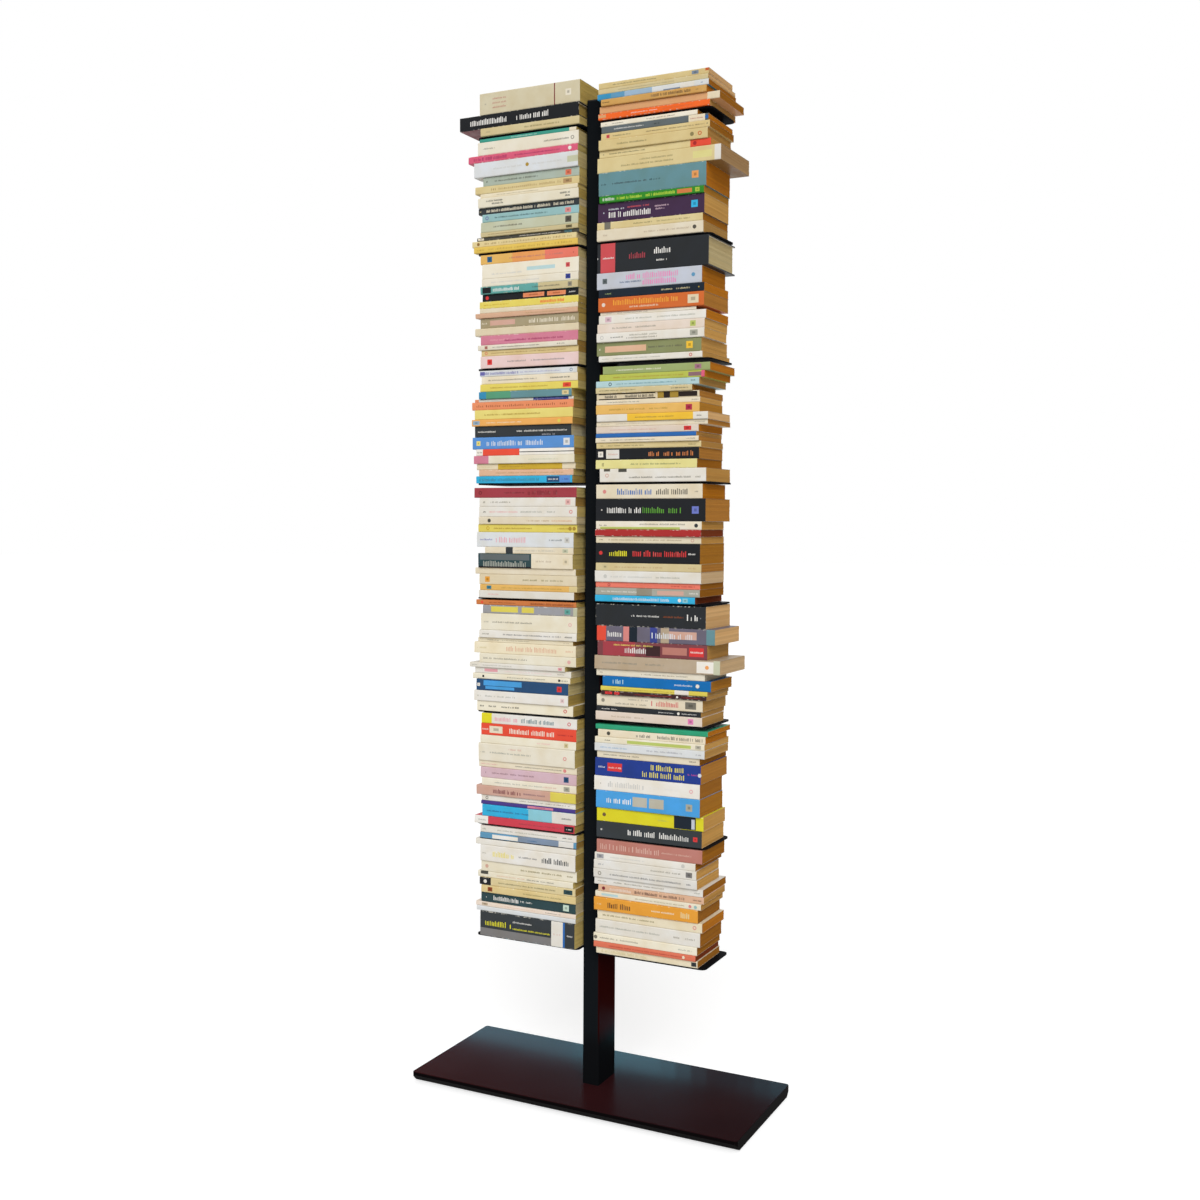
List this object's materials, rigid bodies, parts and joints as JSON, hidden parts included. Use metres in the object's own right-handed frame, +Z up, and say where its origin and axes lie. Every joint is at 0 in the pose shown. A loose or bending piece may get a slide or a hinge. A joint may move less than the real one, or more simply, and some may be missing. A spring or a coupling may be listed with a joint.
{
  "type": "spine bookshelf",
  "caption": "Freestanding spine bookshelf: a slim steel post on a flat weighted base carries short shelves left and right, each with a stack of lying books.",
  "frame": {"origin": "on the floor under the middle of the base", "axes": "+Z up, +X to the right and -Y to the front, the side that shows the books' spines"},
  "size_m": [0.6, 0.25, 1.6998],
  "materials": {
    "black_powder_coat": "satin black powder coat on steel",
    "plain_steel": "bare mild steel, oiled",
    "zinc_plated_steel": "zinc plated",
    "cap_plastic": "black moulded plastic",
    "glide_plastic": "black moulded plastic",
    "paper_books": "paperback books with printed card covers and cut page edges"
  },
  "bodies": {
    "frame": {"base_glides": "glide_plastic", "ballast_plate": "plain_steel", "foot_plate": "plain_steel", "foot_bolts": "zinc_plated_steel", "cover_standoffs": "plain_steel", "cover_screws": "zinc_plated_steel", "base_cover": "black_powder_coat", "post_tube": "black_powder_coat", "post_cap": "cap_plastic", "shelf_left_1": "black_powder_coat", "shelf_left_2": "black_powder_coat", "shelf_left_3": "black_powder_coat", "shelf_left_4": "black_powder_coat", "shelf_left_5": "black_powder_coat", "shelf_left_6": "black_powder_coat", "shelf_left_7": "black_powder_coat", "shelf_left_8": "black_powder_coat", "shelf_right_1": "black_powder_coat", "shelf_right_2": "black_powder_coat", "shelf_right_3": "black_powder_coat", "shelf_right_4": "black_powder_coat", "shelf_right_5": "black_powder_coat", "shelf_right_6": "black_powder_coat", "shelf_right_7": "black_powder_coat", "shelf_right_8": "black_powder_coat"},
    "books_left_1": {"books_left_1": "paper_books"},
    "books_left_2": {"books_left_2": "paper_books"},
    "books_left_3": {"books_left_3": "paper_books"},
    "books_left_4": {"books_left_4": "paper_books"},
    "books_left_5": {"books_left_5": "paper_books"},
    "books_left_6": {"books_left_6": "paper_books"},
    "books_left_7": {"books_left_7": "paper_books"},
    "books_left_8": {"books_left_8": "paper_books"},
    "books_right_1": {"books_right_1": "paper_books"},
    "books_right_2": {"books_right_2": "paper_books"},
    "books_right_3": {"books_right_3": "paper_books"},
    "books_right_4": {"books_right_4": "paper_books"},
    "books_right_5": {"books_right_5": "paper_books"},
    "books_right_6": {"books_right_6": "paper_books"},
    "books_right_7": {"books_right_7": "paper_books"},
    "books_right_8": {"books_right_8": "paper_books"}
  },
  "joints": [
    {"name": "books_left_1_slide", "type": "slide", "parent": "frame", "child": "books_left_1", "axis": [0, -1, 0], "range_m": [0, 0.13]},
    {"name": "books_left_2_slide", "type": "slide", "parent": "frame", "child": "books_left_2", "axis": [0, -1, 0], "range_m": [0, 0.13]},
    {"name": "books_left_3_slide", "type": "slide", "parent": "frame", "child": "books_left_3", "axis": [0, -1, 0], "range_m": [0, 0.13]},
    {"name": "books_left_4_slide", "type": "slide", "parent": "frame", "child": "books_left_4", "axis": [0, -1, 0], "range_m": [0, 0.13]},
    {"name": "books_left_5_slide", "type": "slide", "parent": "frame", "child": "books_left_5", "axis": [0, -1, 0], "range_m": [0, 0.13]},
    {"name": "books_left_6_slide", "type": "slide", "parent": "frame", "child": "books_left_6", "axis": [0, -1, 0], "range_m": [0, 0.13]},
    {"name": "books_left_7_slide", "type": "slide", "parent": "frame", "child": "books_left_7", "axis": [0, -1, 0], "range_m": [0, 0.13]},
    {"name": "books_left_8_slide", "type": "slide", "parent": "frame", "child": "books_left_8", "axis": [0, -1, 0], "range_m": [0, 0.13]},
    {"name": "books_right_1_slide", "type": "slide", "parent": "frame", "child": "books_right_1", "axis": [0, -1, 0], "range_m": [0, 0.13]},
    {"name": "books_right_2_slide", "type": "slide", "parent": "frame", "child": "books_right_2", "axis": [0, -1, 0], "range_m": [0, 0.13]},
    {"name": "books_right_3_slide", "type": "slide", "parent": "frame", "child": "books_right_3", "axis": [0, -1, 0], "range_m": [0, 0.13]},
    {"name": "books_right_4_slide", "type": "slide", "parent": "frame", "child": "books_right_4", "axis": [0, -1, 0], "range_m": [0, 0.13]},
    {"name": "books_right_5_slide", "type": "slide", "parent": "frame", "child": "books_right_5", "axis": [0, -1, 0], "range_m": [0, 0.13]},
    {"name": "books_right_6_slide", "type": "slide", "parent": "frame", "child": "books_right_6", "axis": [0, -1, 0], "range_m": [0, 0.13]},
    {"name": "books_right_7_slide", "type": "slide", "parent": "frame", "child": "books_right_7", "axis": [0, -1, 0], "range_m": [0, 0.13]},
    {"name": "books_right_8_slide", "type": "slide", "parent": "frame", "child": "books_right_8", "axis": [0, -1, 0], "range_m": [0, 0.13]}
  ]
}
